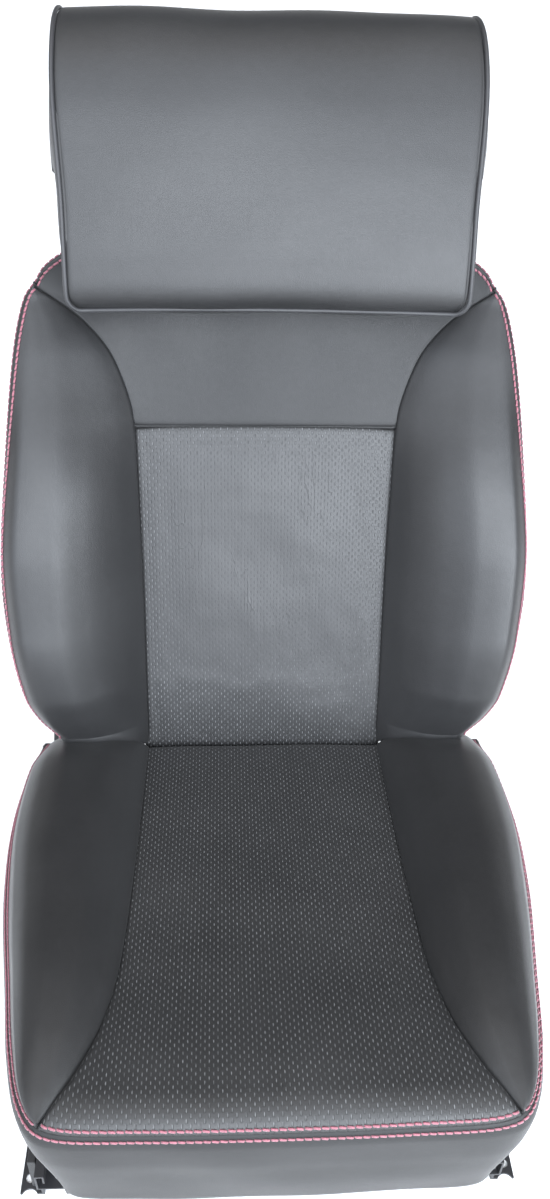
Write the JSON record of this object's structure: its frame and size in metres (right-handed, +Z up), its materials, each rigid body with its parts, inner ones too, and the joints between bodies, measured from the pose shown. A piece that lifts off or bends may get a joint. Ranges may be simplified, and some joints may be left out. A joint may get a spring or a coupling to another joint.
{
  "type": "reclining car seat",
  "caption": "Reclining front car seat with side bolsters, perforated centre panels, wide headrest and sliding floor rails.",
  "frame": {"origin": "centre of the four floor bolts, on the floor plane under the rail feet", "axes": "+Z up, -Y the way the sitter faces, +X the sitter's left; rest pose as pictured, backrest 20 degrees from upright"},
  "size_m": [0.58, 0.8342, 1.0244],
  "materials": {
    "black_steel": "satin",
    "zinc_steel": "satin",
    "spring_steel": "satin",
    "post_chrome": "polished",
    "plastic": "matte",
    "cage_plastic": "matte",
    "leather_plain": "satin",
    "leather_perforated": "satin",
    "piping": "satin",
    "foam": "matte"
  },
  "bodies": {
    "rails": {"lower_rail_left": "black_steel", "lower_rail_right": "black_steel", "front_foot_left": "black_steel", "front_foot_right": "black_steel", "rear_foot_left": "black_steel", "rear_foot_right": "black_steel", "rail_rivets": "zinc_steel", "rail_end_caps": "plastic", "foot_cover": "plastic"},
    "ball_cage": {"ball_cages": "cage_plastic", "rail_balls": "zinc_steel"},
    "carriage": {"upper_rail_left": "zinc_steel", "upper_rail_right": "zinc_steel", "side_frame_left": "black_steel", "side_frame_right": "black_steel", "front_cross_tube": "black_steel", "rear_cross_tube": "black_steel", "cushion_pan": "black_steel", "cushion_springs": "spring_steel", "cushion_foam": "foam", "cushion_insert_cover": "leather_perforated", "cushion_bolster_left": "leather_plain", "cushion_bolster_right": "leather_plain", "cushion_skirt": "leather_plain", "side_valance_left": "plastic", "side_valance_right": "plastic", "recliner_outer_disc_left": "zinc_steel", "recliner_outer_disc_right": "zinc_steel", "recliner_spring": "spring_steel", "recliner_cover": "plastic", "frame_bolts": "zinc_steel", "release_bar_brackets": "black_steel"},
    "track_release": {"track_release_bar": "black_steel", "latch_plates": "zinc_steel"},
    "recliner_release": {"recline_lever": "plastic", "recliner_sync_shaft": "zinc_steel"},
    "backrest": {"back_side_frame_left": "black_steel", "back_side_frame_right": "black_steel", "back_top_tube": "black_steel", "back_lower_crossmember": "black_steel", "recliner_inner_disc_left": "zinc_steel", "recliner_inner_disc_right": "zinc_steel", "lumbar_wires": "spring_steel", "back_foam": "foam", "back_insert_cover": "leather_perforated", "back_yoke_cover": "leather_plain", "back_bolster_left": "leather_plain", "back_bolster_right": "leather_plain", "back_rear_panel": "plastic", "headrest_sockets": "black_steel", "headrest_guide_left": "plastic", "headrest_guide_right": "plastic"},
    "headrest_button": {"headrest_release_button": "plastic"},
    "headrest": {"headrest_posts": "post_chrome", "headrest_core": "plastic", "headrest_foam": "foam", "headrest_cover": "leather_plain", "headrest_gusset_left": "leather_plain", "headrest_gusset_right": "leather_plain", "headrest_piping": "piping"}
  },
  "joints": [
    {"name": "seat_slide", "type": "slide", "parent": "rails", "child": "carriage", "axis": [0, 1, 0], "range_m": [-0.12, 0.1]},
    {"name": "ball_cage_roll", "type": "slide", "parent": "rails", "child": "ball_cage", "axis": [0, 1, 0], "range_m": [-0.06, 0.05]},
    {"name": "track_release_lift", "type": "hinge", "parent": "carriage", "child": "track_release", "pos_m": [0, 0.02, 0.092], "axis": [-1, 0, 0], "range_deg": [0, 8], "stiffness_Nm_per_rad": 12, "springref_deg": -6.88},
    {"name": "backrest_recline", "type": "hinge", "parent": "carriage", "child": "backrest", "pos_m": [0, 0.25, 0.225], "axis": [-1, 0, 0], "range_deg": [-6, 50]},
    {"name": "recline_lever_lift", "type": "hinge", "parent": "carriage", "child": "recliner_release", "pos_m": [0, 0.25, 0.225], "axis": [-1, 0, 0], "range_deg": [0, 15], "stiffness_Nm_per_rad": 2, "springref_deg": -14.32},
    {"name": "headrest_height", "type": "slide", "parent": "backrest", "child": "headrest", "axis": [0, 0.342, 0.9397], "range_m": [0, 0.06]},
    {"name": "headrest_button_press", "type": "slide", "parent": "backrest", "child": "headrest_button", "axis": [-1, 0, 0], "range_m": [0, 0.003], "stiffness_N_per_m": 600, "springref_m": -0.001}
  ],
  "couplings": [
    {"joint": "ball_cage_roll", "follows": "seat_slide", "ratio": 0.5}
  ]
}
